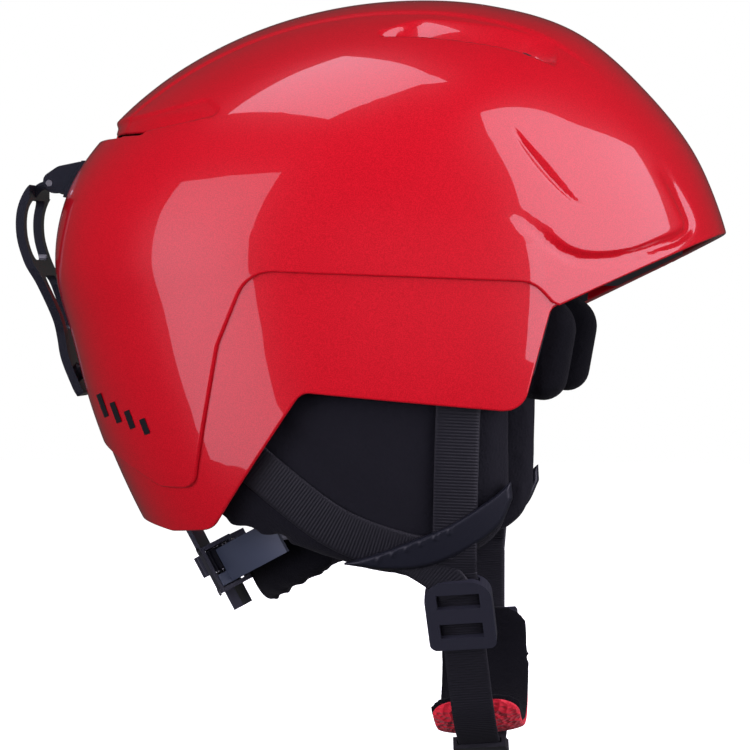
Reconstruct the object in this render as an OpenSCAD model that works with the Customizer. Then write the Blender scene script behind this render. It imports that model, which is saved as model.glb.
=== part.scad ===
// Junior ski helmet: glossy hard shell with a short brim, foam liner, comfort pads, soft ear
// pads, webbing Y-straps with a slider, a ratchet chin buckle with a chin pad, a hinged goggle
// clip at the back, and a nape cradle whose thumbwheel draws two toothed belts together.
// X points forward, Y to the wearer's left, Z up. The origin is the centre of the head.

/* [Shell] */
// Half of the shell's width
shell_half_w = 100; // [98:0.5:102]
// Wall thickness of the shell
shell_t = 2; // [1.6:0.2:2.4]
// How far the side panels and the lower rear band lie below the main surface
panel_step = 1.6; // [1:0.2:2]
// Roundness of the cross-sections, where 2 is an ellipse
squareness = 2.2; // [2.1:0.05:2.4]

/* [Liner] */
// Half of the width of the hollow in the foam liner
cavity_half_w = 79; // [77:0.5:81]
// Thickness of the comfort pads
pad_t = 5; // [4:0.5:6]
// Thickness of the ear pads
ear_pad_t = 14.5; // [12:0.5:16]

/* [Straps] */
// Width of the webbing
strap_w = 16; // [15:0.5:17]
// Thickness of the webbing
strap_t = 1.4; // [1.2:0.1:1.6]
// Radius of the strap's loop under the chin
loop_r = 43; // [41:0.5:45]
// Width of the chin pad
chin_pad_w = 36; // [32:1:38]

/* [Goggle clip] */
// Thickness of the clip's rails
clip_t = 3.2; // [2.8:0.2:3.6]
// Width of the clip at its widest
clip_w = 40; // [36:1:42]

/* [Nape cradle] */
// Radius of the arc on which the belts run
belt_r = 57; // [57:0.1:57.2]
// Width of the belts
belt_w = 13.6; // [12:0.2:13.6]
// Radius of the thumbwheel
wheel_r = 9.5; // [9:0.25:9.75]
// Teeth on the pinion
pinion_teeth = 8; // [8:1:8]
// Module of the pinion and of the belts' racks
tooth_module = 0.75; // [0.75:0.05:0.75]

/* [Hidden] */

// Outer surface: distance from the origin to the midline at every 15 degrees, from the brim
// over the crown and the back of the head to below the chin
outer_radii = [
    149, 142, 133, 125.5, 114, 104.5, 98.5, 95.7, 95.7, 98.5, 103.5, 109.5,
    111, 108, 111.5, 120, 134, 151, 170, 178, 175, 167, 159, 153
];
// The same for the hollow in the foam liner
cavity_radii = [
    97, 95, 91, 86, 80.5, 75.5, 73, 72.5, 74, 77, 81, 85.5,
    88, 88, 90, 97, 110, 130, 150, 160, 150, 130, 112, 101
];
rings_along = 48;
rings_across = 20;
far = 400;

gap = 0.3;                            // clearance between pieces that only lie together
eps_gap = 0.4;
lower_t = panel_step + shell_t;       // depth of the shell's inner face
eps_depth = lower_t + eps_gap;        // depth of the liner's outer face
trim_depth = 5;                       // depths of the layers on the ear pads
trim_t = 1.6;
front_strap_depth = trim_depth + trim_t + gap;
rear_strap_depth = front_strap_depth + strap_t + gap;
ear_depth = rear_strap_depth + strap_t + gap;

// ---- Curves ----

// Catmull-Rom value between b and c
function blend4(a, b, c, d, t) =
    b + t * (c - a + t * (2 * a - 5 * b + 4 * c - d + t * (3 * (b - c) + d - a))) / 2;

// A smooth closed radius curve read from a list of radii at even angles
function radius_at(list, angle) =
    let (n = len(list), u = angle * n / 360, i = floor(u), t = u - i)
    blend4(list[(i + n - 1) % n], list[(i + n) % n], list[(i + 1) % n], list[(i + 2) % n], t);

// A smooth open path through the points, with steps between each two
function smooth_path(p, steps = 6) =
    let (n = len(p))
    concat(
        [for (i = [0:n - 2]) for (k = [0:steps - 1])
            let (a = i > 0 ? p[i - 1] : 2 * p[0] - p[1],
                 d = i < n - 2 ? p[i + 2] : 2 * p[n - 1] - p[n - 2])
            blend4(a, p[i], p[i + 1], d, k / steps)],
        [p[n - 1]]
    );

function reversed(p) = [for (i = [len(p) - 1:-1:0]) p[i]];
function unit(v) = v / norm(v);
function left_of(v) = [-v[1], v[0]];

// Directions along an open path
function headings(p) =
    let (n = len(p))
    [for (i = [0:n - 1]) unit(p[min(i + 1, n - 1)] - p[max(i - 1, 0)])];

// The outline of a strip of width w whose middle is the path p
function strip(p, w) =
    let (h = headings(p), n = len(p))
    concat(
        [for (i = [0:n - 1]) p[i] + left_of(h[i]) * w / 2],
        [for (i = [n - 1:-1:0]) p[i] - left_of(h[i]) * w / 2]
    );

// Outline of a polygon whose corners [x, y, radius] are rounded
function rounded(c) =
    let (n = len(c))
    [for (i = [0:n - 1])
        let (p = [c[i][0], c[i][1]],
             a = unit([c[(i + n - 1) % n][0], c[(i + n - 1) % n][1]] - p),
             b = unit([c[(i + 1) % n][0], c[(i + 1) % n][1]] - p),
             half = acos(max(-1, min(1, a * b))) / 2,
             r = c[i][2],
             back = r / tan(half),
             centre = p + unit(a + b) * r / sin(half),
             steps = r == 0 ? 0 : max(2, ceil((180 - 2 * half) / 14)),
             from = atan2((p + a * back - centre)[1], (p + a * back - centre)[0]),
             to = atan2((p + b * back - centre)[1], (p + b * back - centre)[0]),
             turn = (to - from + 540) % 360 - 180)
        for (k = [0:steps])
            r == 0 ? p : centre + r * [cos(from + turn * k / steps), sin(from + turn * k / steps)]];

// ---- Domes ----

function power(v, e) = sign(v) * pow(abs(v), e);
function dome_point(list, half_w, depth, along, across) =
    let (r = (radius_at(list, along) - depth) * power(cos(across), 2 / squareness))
    [r * cos(along), (half_w - depth) * power(sin(across), 2 / squareness), r * sin(along)];

// A closed dome, depth below the surface that the list of radii gives
module dome(depth, list = outer_radii, half_w = shell_half_w) {
    across = [for (j = [1:rings_across - 1]) -90 + 180 * j / rings_across];
    n = rings_along;
    m = len(across);
    points = concat(
        [for (a = across) for (i = [0:n - 1]) dome_point(list, half_w, depth, i * 360 / n, a)],
        [[0, -(half_w - depth), 0], [0, half_w - depth, 0]]
    );
    sides = [for (j = [0:m - 2]) for (i = [0:n - 1])
        let (k = (i + 1) % n)
        each [[j * n + i, j * n + k, (j + 1) * n + k], [j * n + i, (j + 1) * n + k, (j + 1) * n + i]]];
    ends = [for (i = [0:n - 1])
        let (k = (i + 1) % n)
        each [[m * n, k, i], [m * n + 1, (m - 1) * n + i, (m - 1) * n + k]]];
    polyhedron(points, concat(sides, ends));
}

// A freeform piece, kept as one mesh: a resize of zero leaves its size as it is
module freeform()
    resize([0, 0, 0])
        children();

// The layer between two depths below the outer surface
module layer(top, bottom) {
    difference() {
        dome(top);
        dome(bottom);
    }
}

// The layer between two depths inside the hollow of the liner
module cavity_layer(top, bottom) {
    difference() {
        dome(top, cavity_radii, cavity_half_w);
        dome(bottom, cavity_radii, cavity_half_w);
    }
}

// Everything whose side view lies in the outline
module seen_from_side(outline, w = far) {
    rotate([90, 0, 0])
        linear_extrude(w, center = true)
            polygon(outline);
}

// The right half of space is side -1 and the left half is side 1
module on_side(side) {
    intersection() {
        children();
        translate([0, side * far / 2, 0])
            cube([far, far, far], center = true);
    }
}

// A flat shape in the Y-Z plane, extruded along X
module across_x(w) {
    rotate([90, 0, 90])
        linear_extrude(w, center = true)
            children();
}

module ring_part(inner, outer, from, to) {
    reach = 2 * outer;
    mid = (from + to) / 2;
    intersection() {
        difference() {
            circle(outer, $fn = 120);
            circle(inner, $fn = 120);
        }
        polygon([
            [0, 0], reach * [cos(from), sin(from)], reach * [cos(mid), sin(mid)],
            reach * [cos(to), sin(to)]
        ]);
    }
}

// ---- Outlines seen from the side, as [x, z, corner radius] ----

shell_outline = rounded([
    [172, 23.5, 0], [86, -16.5, 5], [75.5, -55, 9], [-5, -47.5, 6], [-42, -99.8, 9],
    [-60, -101.5, 5], [-130, -89, 0], [-130, 130, 0], [172, 130, 0]
]);
upper_zone = rounded([
    [172, -30, 0], [88, -17, 0], [79, -7, 12], [-24, -3, 14], [-36, -30, 10], [-47.5, -83, 6],
    [-62, -83, 8], [-95, -66, 0], [-130, -66, 0], [-130, 130, 0], [172, 130, 0]
]);
liner_outline = rounded([
    [128, 4.5, 0], [85, -15.5, 4], [78, -42, 3], [-12, -38.5, 6], [-52, -96.5, 5],
    [-62, -96.5, 4], [-130, -82, 0], [-130, 130, 0], [128, 130, 0]
]);
ear_outline = rounded([
    [69, -45, 4], [68.5, -101, 20], [28, -117, 30], [-36, -99, 6], [-46, -92, 4], [-12, -44, 6]
]);
rear_lobe_x = -6;                     // behind this the ear pads are thin
rear_lobe_t = 5;
trim_top = smooth_path([[8, -109.8], [18, -107], [29, -103], [47, -95.5], [62, -86], [69.5, -79.5]]);
trim_bottom = smooth_path([[70, -86], [65, -96], [55, -104], [40, -110.8], [25, -112.6], [8, -110.6]]);
strap_foot = [48.5, -109];            // where the Y-straps leave the trim
front_strap_path = [[51.5, -45], strap_foot];
rear_strap_path = smooth_path([[-28, -70.5], [-20, -77.6], [0, -93.5], [14, -101], [30, -106.5]]);

// ---- Hard shell ----

vent_slots = [[[28, 56], [44, 55]], [[50, 54.5], [68, 51]]];

// Slots through the crown and the two long slots at the back, one set on each side
module vent_cuts(w) {
    for (side = [-1, 1]) {
        for (slot = vent_slots)
            linear_extrude(far / 2)
                hull()
                    for (end = slot)
                        translate([end[0], side * end[1]])
                            circle(d = w, $fn = 20);
        translate([-120, side * 36, 51])
            rotate([90, 0, 90])
                linear_extrude(100)
                    hull()
                        for (end = [-26, 26])
                            translate([end, 0])
                                circle(d = w, $fn = 20);
    }
}

module shell() color("crimson") freeform() {
    difference() {
        intersection() {
            union() {
                dome(panel_step);
                intersection() {
                    dome(0);
                    seen_from_side(upper_zone);
                }
            }
            seen_from_side(shell_outline);
        }
        dome(lower_t);
        vent_cuts(4.5);
    }
}

// Plain raised dashes, low on the right and left of the back
module rear_badge() color("black") freeform() {
    for (side = [-1, 1])
        on_side(side)
            intersection() {
                layer(panel_step - 2.2, -0.05);
                rotate([90, 0, 0])
                    for (dash = [0:3])
                        translate([-86 + 6.5 * dash, -53 - 2.4 * dash, 0])
                            rotate([0, 0, -70])
                                linear_extrude(far, center = true)
                                    square([9 - dash, 2.6], center = true);
            }
}

// ---- Foam liner and comfort pads ----

anchor_places = [[51.5, -44], [-28.5, -68]];
anchor_size = [10, 5, 12];

// Where the four strap anchors sit in the liner's edge
module anchor_seats(grow) {
    for (side = [-1, 1]) {
        translate([51.5, side * (shell_half_w - 14.6), -36])
            cube(anchor_size + [grow, grow, grow], center = true);
        translate([-33.5, side * (shell_half_w - 27.4), -61.5])
            rotate([0, -48, 0])
                cube(anchor_size + [grow, grow, grow], center = true);
    }
}

// Push studs between the liner's lower edge and the ear pads
module stud_row(d)
    for (side = [-1, 1])
        for (x = [12, 32])
            translate([x, side * (shell_half_w - 18), -43.5])
                cylinder(h = 5, d = d, $fn = 40);

module eps_liner() color("dimgray") freeform() {
    difference() {
        intersection() {
            dome(eps_depth);
            seen_from_side(liner_outline);
        }
        dome(0, cavity_radii, cavity_half_w);
        vent_cuts(9.4);
        translate([far / 2 + 57, 0, -far / 2 - 8])
            cube([far, 2 * cavity_half_w + 1, far], center = true);
        anchor_seats(0.6);
        stud_row(5.6);
        in_nape_frame()
            translate([-arm_depth, 0, 5 + arm_slot / 2])
                cube([arm_t + 1.6, arm_w + 2, arm_slot], center = true);
    }
}

brow_outline = rounded([[34, 36, 0], [120, 36, 0], [120, -2, 0], [62, -6, 6], [34, 4, 4]]);

module brow_pad() color("black") freeform()
    intersection() {
        cavity_layer(gap, pad_t + 1);
        seen_from_side(brow_outline);
    }

// Padding on the sides of the face opening, in recesses of the liner
module temple_pads() color("black") {
    pad_outline = rounded([[58.5, -12, 4], [94, -12, 12], [87.5, -47.5, 8], [58.5, -43, 5]]);
    for (side = [-1, 1])
        translate([0, side * (cavity_half_w - 7.5), 0])
            seen_from_side(pad_outline, 15);
}

module crown_pad() color("black") freeform()
    intersection() {
        cavity_layer(gap, pad_t);
        translate([-2, 0, 0])
            linear_extrude(far)
                polygon(rounded([[-38, -26, 12], [38, -20, 12], [38, 20, 12], [-38, 26, 12]]));
    }

module side_pads() color("black") freeform() {
    pad_outline = rounded([[-34, -30, 10], [26, -30, 10], [30, 18, 12], [-38, 22, 12]]);
    for (side = [-1, 1])
        on_side(side)
            intersection() {
                cavity_layer(gap, pad_t);
                seen_from_side(pad_outline);
                translate([0, side * far / 4, 0])
                    cube([far, far / 2 - 100, far], center = true);
            }
}

module occiput_pad() color("black") freeform()
    intersection() {
        cavity_layer(gap, pad_t);
        seen_from_side(rounded([[-50, -44, 6], [-120, -44, 0], [-120, 26, 0], [-50, 26, 6]]));
        cube([far, 80, far], center = true);
    }

// ---- Ear pads, trims and Y-straps, one set on each side ----

module ear_pad(side) color("black") freeform()
    on_side(side)
        intersection() {
            union() {
                layer(ear_depth, ear_depth + rear_lobe_t);
                intersection() {
                    dome(ear_depth + 0.5 * rear_lobe_t);
                    translate([rear_lobe_x + far / 2, 0, 0])
                        cube([far, far, far], center = true);
                }
            }
            seen_from_side(ear_outline);
            difference() {
                cube([2 * far, 2 * far, 2 * far], center = true);
                dome(ear_depth + ear_pad_t);
            }
        }

module ear_pad_right() ear_pad(-1);
module ear_pad_left() ear_pad(1);

module ear_trim(side) color("darkslategray") freeform()
    on_side(side)
        intersection() {
            layer(trim_depth, trim_depth + trim_t);
            seen_from_side(concat(trim_top, trim_bottom));
        }

module ear_trim_right() ear_trim(-1);
module ear_trim_left() ear_trim(1);

module flat_strap(side, path, depth) color("black") freeform()
    on_side(side)
        intersection() {
            layer(depth, depth + strap_t);
            seen_from_side(strip(path, strap_w));
        }

module front_strap_right() flat_strap(-1, front_strap_path, front_strap_depth);
module front_strap_left() flat_strap(1, front_strap_path, front_strap_depth);
module rear_strap_right() flat_strap(-1, rear_strap_path, rear_strap_depth);
module rear_strap_left() flat_strap(1, rear_strap_path, rear_strap_depth);

module strap_anchors() color("black")
    anchor_seats(0);

// Press studs that hold the ear pads to the liner's lower edge
module ear_pad_studs() color("black")
    stud_row(5);

// ---- Goggle clip at the back ----

clip_hinge = [-113.5, 0, 31.5];
clip_pin_r = 1.25;
clip_eye_r = 3.2;
bracket_gap = 16;
clip_path = smooth_path([
    [-113.5, 31.5], [-119, 29], [-122.8, 21], [-123, 11], [-120, 1], [-115.8, -7],
    [-110.6, -20], [-109, -28], [-107.5, -36], [-103.5, -46], [-101.5, -50]
]);

// The clip's front view, as [y, z, corner radius]
module clip_front() {
    half = clip_w / 2;
    polygon(rounded([
        [-half, 36, 6], [half, 36, 6], [half, 0, 8], [11, -27, 8], [11, -52, 4],
        [-11, -52, 4], [-11, -27, 8], [-half, 0, 8]
    ]));
}

module clip_windows() {
    half = clip_w / 2 - 6;
    polygon(rounded([[-half, 25, 4], [half, 25, 4], [half, 2, 4], [-half, 2, 4]]));
    polygon(rounded([[-half + 2, -4, 3], [half - 2, -4, 3], [5, -25, 3], [-5, -25, 3]]));
}

module goggle_clip() color("midnightblue") {
    difference() {
        union() {
            intersection() {
                seen_from_side(strip(clip_path, clip_t), clip_w);
                across_x(far)
                    clip_front();
            }
            translate(clip_hinge)
                rotate([90, 0, 0])
                    cylinder(h = bracket_gap - 2 * gap, r = clip_eye_r, center = true, $fn = 48);
        }
        across_x(far)
            clip_windows();
        translate(clip_hinge)
            rotate([90, 0, 0])
                cylinder(h = far, r = clip_pin_r + 0.06, center = true, $fn = 48);
        for (side = [-1, 1])
            translate([clip_hinge[0] + 2, side * (bracket_gap / 2 + 7 - gap), clip_hinge[2]])
                cube([16, 14, 11], center = true);
        translate([-102, 0, -41])
            rotate([0, -90, 0])
                cylinder(h = 4.7, r = stud_r + gap, $fn = 48);
    }
}

module clip_bracket() color("black") {
    ear_outline = rounded([[-100, 40, 1], [-110, 38, 5], [-117.5, 33, 3.5], [-113, 27.5, 3], [-104, 28, 1]]);
    difference() {
        freeform()
            difference() {
                union() {
                    intersection() {
                        dome(-2);
                        translate([-104, 0, 33])
                            cube([30, 30, 14], center = true);
                    }
                    for (side = [-1, 1])
                        translate([0, side * (bracket_gap / 2 + 2), 0])
                            seen_from_side(ear_outline, 4);
                }
                dome(-0.15);
            }
        translate(clip_hinge)
            rotate([90, 0, 0])
                cylinder(h = far, r = clip_pin_r + 0.02, center = true, $fn = 48);
    }
}

module clip_pin() color("silver")
    translate(clip_hinge)
        rotate([90, 0, 0])
            cylinder(h = bracket_gap + 8, r = clip_pin_r, center = true, $fn = 48);

stud_r = 3;
module snap_stud() color("black")
    difference() {
        translate([-99, 0, -41])
            rotate([0, -90, 0])
                cylinder(h = 7.2, r = stud_r, $fn = 48);
        dome(-0.05);
    }

// ---- Chin strap, buckle and chin pad ----

loop_place = [strap_foot[0], 0, -113];
loop_tilt = -4;
swing_y = -67;                        // the strap swings about this line, along X
loop_c = [0, -29];                    // centre of the loop, in Y and Z
to_loop = [-swing_y, 0] + loop_c;     // from the swing line to the loop's centre
loop_away = norm(to_loop);
meet_angle = atan2(to_loop[1], to_loop[0]);
tongue_r = loop_away + loop_r;        // the tongue's arc is centred on the swing line
run_angle = meet_angle - asin(loop_r / loop_away);
run_length = sqrt(loop_away * loop_away - loop_r * loop_r);
strap_channel = 2.2;
housing_top = -11.5;
housing_bottom = meet_angle + 1.8;
lever_angle = housing_top - 2.6;
lever_pin_r = 1.2;
lever_pin_out = 4.4;

module in_loop_frame()
    translate(loop_place)
        rotate([0, loop_tilt, 0])
            children();

module about_swing()
    translate([swing_y, 0])
        children();

module tongue_arc(inner, outer, from, to)
    about_swing()
        ring_part(tongue_r + inner, tongue_r + outer, from, to);

module chin_strap_right() color("black") freeform()
    in_loop_frame()
        across_x(strap_w) {
            translate(loop_c)
                ring_part(loop_r - strap_t / 2, loop_r + strap_t / 2,
                          run_angle - 90 + 360, meet_angle + 360);
            about_swing()
                rotate(run_angle)
                    translate([1, -strap_t / 2])
                        square([run_length - 0.6, strap_t]);
        }

slider_w = 25;
slider_l = 30;
slider_from = 3;

// Three-bar slider: the webbing runs under the windowed plate and over the keeper plate
module strap_slider() color("darkslategray")
    in_loop_frame()
        translate([0, swing_y, 0])
            rotate([run_angle, 0, 0])
                translate([0, slider_from + slider_l / 2, 0])
                    difference() {
                        union() {
                            translate([0, 0, -0.6])
                                linear_extrude(5.8, center = true)
                                    polygon(rounded([
                                        [-slider_w / 2, -slider_l / 2, 8],
                                        [slider_w / 2, -slider_l / 2, 8],
                                        [slider_w / 2, slider_l / 2, 3],
                                        [-slider_w / 2, slider_l / 2, 3]
                                    ]));
                        }
                        cube([strap_w + 1.6, far, strap_channel], center = true);
                        for (slot = [-1, 1])
                            translate([0, slot * 6.5, -4])
                                cube([strap_w, 6.5, 6], center = true);
                    }

keeper_from = 246;
keeper_to = 266;

// Webbing loop that holds the strap's folded end
module strap_keeper() color("black")
    in_loop_frame()
        difference() {
            across_x(strap_w + 4)
                translate(loop_c)
                    ring_part(loop_r - 2.2, loop_r + 2.6, keeper_from, keeper_to);
            across_x(strap_w + 1)
                translate(loop_c)
                    ring_part(loop_r - 1, loop_r + 1, keeper_from - 5, keeper_to + 5);
        }

tongue_w = 13;
tongue_t = 2;
tooth_pitch = 1.1;                    // degrees along the tongue's arc

module buckle_tongue() color("darkslategray")
    in_loop_frame() {
        across_x(tongue_w) {
            tongue_arc(-tongue_t / 2, tongue_t / 2, meet_angle + 0.4, housing_top - 1.5);
            for (tooth = [0:5])
                tongue_arc(tongue_t / 2 - 0.2, tongue_t / 2 + 0.7,
                           housing_top - 8 + tooth_pitch * tooth,
                           housing_top - 7.6 + tooth_pitch * tooth);
        }
        across_x(strap_w + 3)
            tongue_arc(-1.8, 2, meet_angle + 0.15, meet_angle + 1.5);
    }

housing_w = 25;
lever_w = 13;
housing_inner = -3.6;
housing_outer = 6.4;

module buckle_housing() color("darkslategray")
    in_loop_frame()
        difference() {
            across_x(housing_w)
                tongue_arc(housing_inner, housing_outer, housing_bottom, housing_top);
            across_x(tongue_w + 1)
                tongue_arc(-2, 2.2, housing_bottom - 3, housing_top + 3);
            across_x(lever_w + 1)
                tongue_arc(0, housing_outer + 4, housing_bottom - 3, housing_top + 3);
            lever_pin_place()
                cylinder(h = far, r = lever_pin_r + 0.02, center = true, $fn = 48);
        }

module lever_pin_place()
    translate([0, swing_y, 0])
        rotate([lever_angle, 0, 0])
            translate([0, tongue_r + lever_pin_out, 0])
                rotate([0, 90, 0])
                    children();

module lever_pin() color("silver")
    in_loop_frame()
        lever_pin_place()
            cylinder(h = housing_w - 1, r = lever_pin_r, center = true, $fn = 48);

spring_ring_r = 0.35;

// Torsion spring round the lever's pin, in the lever's notch
module lever_spring() color("silver")
    in_loop_frame()
        lever_pin_place()
            for (turn = [-1:1])
                translate([0, 0, turn * 2.1 * spring_ring_r])
                    rotate_extrude($fn = 40)
                        translate([lever_pin_r + 0.15 + spring_ring_r, 0])
                            circle(spring_ring_r, $fn = 16);

module release_lever() color("crimson")
    in_loop_frame()
        difference() {
            union() {
                across_x(lever_w)
                    tongue_arc(3.2, 5.8, housing_bottom - 0.5, lever_angle);
                lever_pin_place()
                    cylinder(h = lever_w, r = 2.3, center = true, $fn = 48);
                across_x(lever_w)
                    tongue_arc(5.6, 7.4, housing_bottom - 0.5, housing_bottom + 1);
                across_x(lever_w - 2)
                    tongue_arc(tongue_t / 2 + 0.95, 3.4, housing_top - 7.4, housing_top - 6.9);
            }
            lever_pin_place()
                cylinder(h = far, r = lever_pin_r + 0.06, center = true, $fn = 48);
            lever_pin_place()
                cylinder(h = 3.4, r = 2.8, center = true, $fn = 48);
        }

left_strap_from = [swing_y + tongue_r * cos(housing_top + 0.7), tongue_r * sin(housing_top + 0.7)];

module chin_strap_left() color("black")
    in_loop_frame()
        across_x(strap_w)
            polygon(strip([left_strap_from, [-swing_y - 1, -1.5]], strap_t));

pad_inner = 31.5;
pad_outer = 36;
mesh_outer = 37.4;
pad_from = 218;
pad_to = 374;

// Round-ended outline of the pad, wrapped round the loop's axis
module pad_band(inner, outer, w)
    in_loop_frame()
        across_x(w)
            translate(loop_c) {
                ring_part(inner, outer, pad_from, (pad_from + pad_to) / 2 + 0.01);
                ring_part(inner, outer, (pad_from + pad_to) / 2, pad_to);
            }

module chin_pad() color("black")
    pad_band(pad_inner, pad_outer, chin_pad_w);

module chin_pad_mesh() color("red")
    pad_band(pad_outer + 0.1, mesh_outer, chin_pad_w - 4);

// ---- Nape cradle ----

nape_place = [0.7, 0, -84.5];
nape_tilt = -28;
arm_depth = 61;
arm_t = 1.8;
arm_w = 26;
arm_l = 40;
arm_slot = 52;
cradle_low = -14.7;
cradle_high = 4.3;
wall_t = 1.7;
cradle_half = 22;                     // half of the cradle's angle round the neck
inner_plate = 50.4;
outer_plate = 63.2;
plate_t = 1.3;
wheel_low = -6.3;
wheel_high = 2.2;
strip_low = -12.5;
strip_w = 4.6;
axle_r = 1.25;
pinion_r = pinion_teeth * tooth_module / 2;
rack_clear = 0.12;

module in_nape_frame()
    translate(nape_place)
        rotate([0, nape_tilt, 0])
            children();

// A flat arc round the nape, centred on the back
module nape_arc(inner, outer, from, to, low, high)
    translate([0, 0, low])
        linear_extrude(high - low)
            ring_part(inner, outer, 180 + from, 180 + to);

// The opening in a plate at radius r through which the thumbwheel stands out
module wheel_window(r)
    translate([-r, 0, (wheel_low + wheel_high) / 2])
        cube([8, 2 * window_half, wheel_high - wheel_low + 0.7], center = true);

module nape_yoke() color("black") freeform()
    in_nape_frame() {
        difference() {
            nape_arc(inner_plate, outer_plate - plate_t - 0.1, -cradle_half, cradle_half,
                     cradle_low, cradle_high);
            nape_arc(inner_plate + plate_t, outer_plate + 5, -cradle_half - 3, cradle_half + 3,
                     cradle_low + wall_t, cradle_high - wall_t);
            wheel_window(inner_plate);
        }
        translate([-arm_depth, 0, cradle_high - wall_t + 0.4])
            linear_extrude(arm_l)
                square([arm_t, arm_w], center = true);
        nape_arc(arm_depth - 4, arm_depth, -12, 12, cradle_low - 8, cradle_low + 0.2);
    }

window_half = 8.6;

module yoke_cover() color("black")
    in_nape_frame()
        difference() {
            nape_arc(outer_plate - plate_t, outer_plate, -cradle_half, cradle_half,
                     cradle_low, cradle_high);
            wheel_window(outer_plate);
            translate([-outer_plate, 0, cradle_high])
                cube([8, arm_w + 0.6, 2 * 1.4], center = true);
        }

module cover_screws() color("dimgray")
    in_nape_frame()
        for (side = [-1, 1])
            for (z = [cradle_low + wall_t / 2, cradle_high - wall_t / 2])
                rotate([0, 0, 180 + side * 18])
                    translate([outer_plate + 0.02, 0, z])
                        rotate([0, 90, 0])
                            cylinder(h = 0.7, d = 3, $fn = 32);

module wheel_axle() color("silver")
    in_nape_frame()
        translate([-belt_r, 0, cradle_low + wall_t + 0.05])
            cylinder(h = cradle_high - cradle_low - 2 * wall_t - 0.1, r = axle_r, $fn = 48);

neck_r = [41, 49.5];

module neck_pad() color("black")
    in_nape_frame()
        for (half = [0, 1])
            rotate([0, 0, 180 + half * 78 - 78])
                rotate_extrude(angle = 78.01, $fn = 96)
                    polygon(rounded([
                        [neck_r[0], -27, 4], [neck_r[1], -26, 4], [neck_r[1], -9, 4], [neck_r[0], -7, 4]
                    ]));

// Involute tooth flank at radius r, as an angle from the tooth's middle
pressure = 20;
function involute(a) = tan(a) * 180 / PI - a;
function flank(r, base, half) =
    half + involute(pressure) - (r > base ? involute(acos(base / r)) : 0);

module pinion_outline() {
    base = pinion_r * cos(pressure);
    half = 90 / pinion_teeth - rack_clear / pinion_r * 90 / PI;
    root = pinion_r - 1.05 * tooth_module;
    tip = pinion_r + 0.75 * tooth_module;
    levels = [root, base, (base + pinion_r) / 2, pinion_r, (pinion_r + tip) / 2, tip];
    polygon([for (tooth = [0:pinion_teeth - 1])
        let (mid = tooth * 360 / pinion_teeth)
        each concat(
            [for (r = levels) r * [cos(mid - flank(r, base, half)), sin(mid - flank(r, base, half))]],
            [for (r = reversed(levels))
                r * [cos(mid + flank(r, base, half)), sin(mid + flank(r, base, half))]]
        )]);
}

module fit_wheel() color("darkslategray")
    in_nape_frame()
        translate([-belt_r, 0, wheel_low])
            linear_extrude(wheel_high - wheel_low)
                difference() {
                    circle(wheel_r, $fn = 120);
                    circle(axle_r + 0.06, $fn = 48);
                    for (notch = [0:17])
                        rotate(notch * 20)
                            translate([wheel_r + 0.3, 0])
                                circle(0.9, $fn = 12);
                }

module drive_pinion() color("silver")
    in_nape_frame()
        translate([-belt_r, 0, strip_low - 0.1])
            linear_extrude(wheel_low - strip_low + 0.1)
                difference() {
                    pinion_outline();
                    circle(axle_r + 0.06, $fn = 48);
                }

// Rack teeth on an arc: facing 1 points away from the arc's centre and -1 towards it
module rack(pitch_r, facing, from, to) {
    pitch = tooth_module * 180 / pitch_r;
    wide = PI * tooth_module / 2 - rack_clear;
    rise = 0.75 * tooth_module;
    lean = tan(pressure);
    first = ceil(from / pitch - 0.5);
    last = floor(to / pitch - 0.5);
    for (tooth = [first:last])
        rotate(180 + (tooth + 0.5) * pitch)
            translate([pitch_r, 0])
                polygon([
                    [facing * rise, -wide / 2 + rise * lean], [facing * rise, wide / 2 - rise * lean],
                    [-facing * rack_root, wide / 2 + rack_root * lean],
                    [-facing * rack_root, -wide / 2 - rack_root * lean]
                ]);
}

strip_reach = 14;
band_from = 21;
band_to = 64;
band_t = 1.7;
strip_t = 1;
rack_back = 1.1 * tooth_module;
rack_root = rack_back + 0.2;          // how far the teeth reach into the strip

// One belt: a toothed strip past the pinion, a step, and the wide band round the neck
module belt(side, facing) {
    rack_r = belt_r - facing * pinion_r;
    face = rack_r - facing * rack_back;
    low_r = min(face, face - facing * strip_t);
    high_r = max(face, face - facing * strip_t);
    in_nape_frame()
        mirror([0, side > 0 ? 1 : 0, 0]) {
            translate([0, 0, strip_low])
                linear_extrude(strip_w) {
                    ring_part(low_r, high_r, 180 - strip_reach, 180 + band_from + 1);
                    rack(rack_r, facing, -strip_reach, strip_reach);
                    ring_part(min(low_r, belt_r - band_t / 2), max(high_r, belt_r + band_t / 2),
                              180 + band_from, 180 + band_from + 1.6);
                }
            nape_arc(belt_r - band_t / 2, belt_r + band_t / 2, band_from, band_to,
                     strip_low, strip_low + belt_w);
        }
}

module fit_belt_left() color("slategray")
    belt(1, 1);

module fit_belt_right() color("slategray")
    belt(-1, -1);

shell();
rear_badge();
eps_liner();
brow_pad();
temple_pads();
crown_pad();
side_pads();
occiput_pad();
ear_pad_right();
ear_pad_left();
ear_trim_right();
ear_trim_left();
front_strap_right();
front_strap_left();
rear_strap_right();
rear_strap_left();
strap_anchors();
ear_pad_studs();
clip_bracket();
clip_pin();
goggle_clip();
snap_stud();
chin_strap_right();
strap_slider();
strap_keeper();
buckle_tongue();
chin_strap_left();
buckle_housing();
lever_pin();
lever_spring();
release_lever();
chin_pad();
chin_pad_mesh();
nape_yoke();
yoke_cover();
cover_screws();
wheel_axle();
neck_pad();
fit_wheel();
drive_pinion();
fit_belt_left();
fit_belt_right();
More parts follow.
